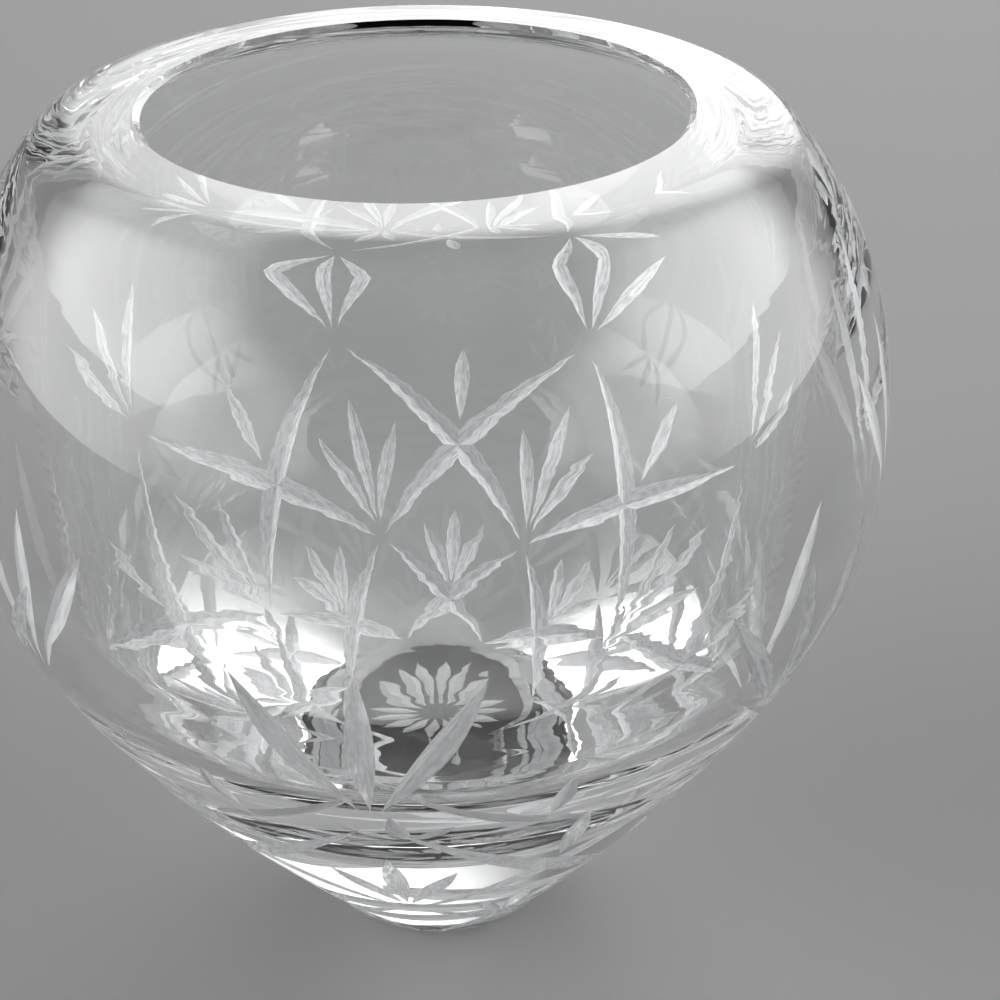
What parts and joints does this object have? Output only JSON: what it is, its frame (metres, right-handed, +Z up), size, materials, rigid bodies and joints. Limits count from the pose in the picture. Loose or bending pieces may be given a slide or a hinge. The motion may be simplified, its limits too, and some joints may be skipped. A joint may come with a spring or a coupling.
{
  "type": "crystal bud vase",
  "caption": "Round cut-glass posy vase with a wide mouth, flat rim, thick tapering base and a lattice of mitre cuts, for holding short-stemmed flowers in water.",
  "frame": {"origin": "centre of the foot's underside, where the vase rests", "axes": "+Z up along the turned axis, towards the mouth; one of the lattice's seven upper nodes stands on -Y and a gap between two of them on +Y"},
  "size_m": [0.086, 0.0859, 0.09],
  "materials": {
    "crystal": "polished clear crystal"
  },
  "bodies": {
    "root": {"vase_body": "crystal"}
  },
  "joints": []
}
